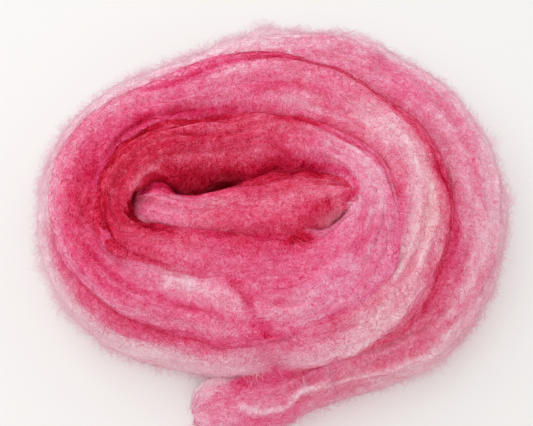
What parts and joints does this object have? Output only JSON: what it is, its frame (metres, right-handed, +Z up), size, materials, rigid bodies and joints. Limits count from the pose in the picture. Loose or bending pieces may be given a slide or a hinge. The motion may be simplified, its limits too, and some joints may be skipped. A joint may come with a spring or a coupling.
{
  "type": "wool roving",
  "caption": "Dyed wool roving wound flat into an oval spiral bun, with a folded core and a short loose outer end lying beside it.",
  "frame": {"origin": "middle of the outline, on the surface that the bun lies on", "axes": "+Z up; +X to the picture's right; +Y away from the camera; the loose end lies along the -Y side and points to -X"},
  "size_m": [0.1928, 0.1794, 0.0497],
  "materials": {
    "bun_wool": "matt, fuzzy, hand-dyed wool in shades from crimson to pale pink",
    "loose_end_wool": "matt, fuzzy wool, pale pink with a mauve cast"
  },
  "bodies": {
    "root": {"wound_roving": "bun_wool", "loose_end": "loose_end_wool"}
  },
  "joints": []
}
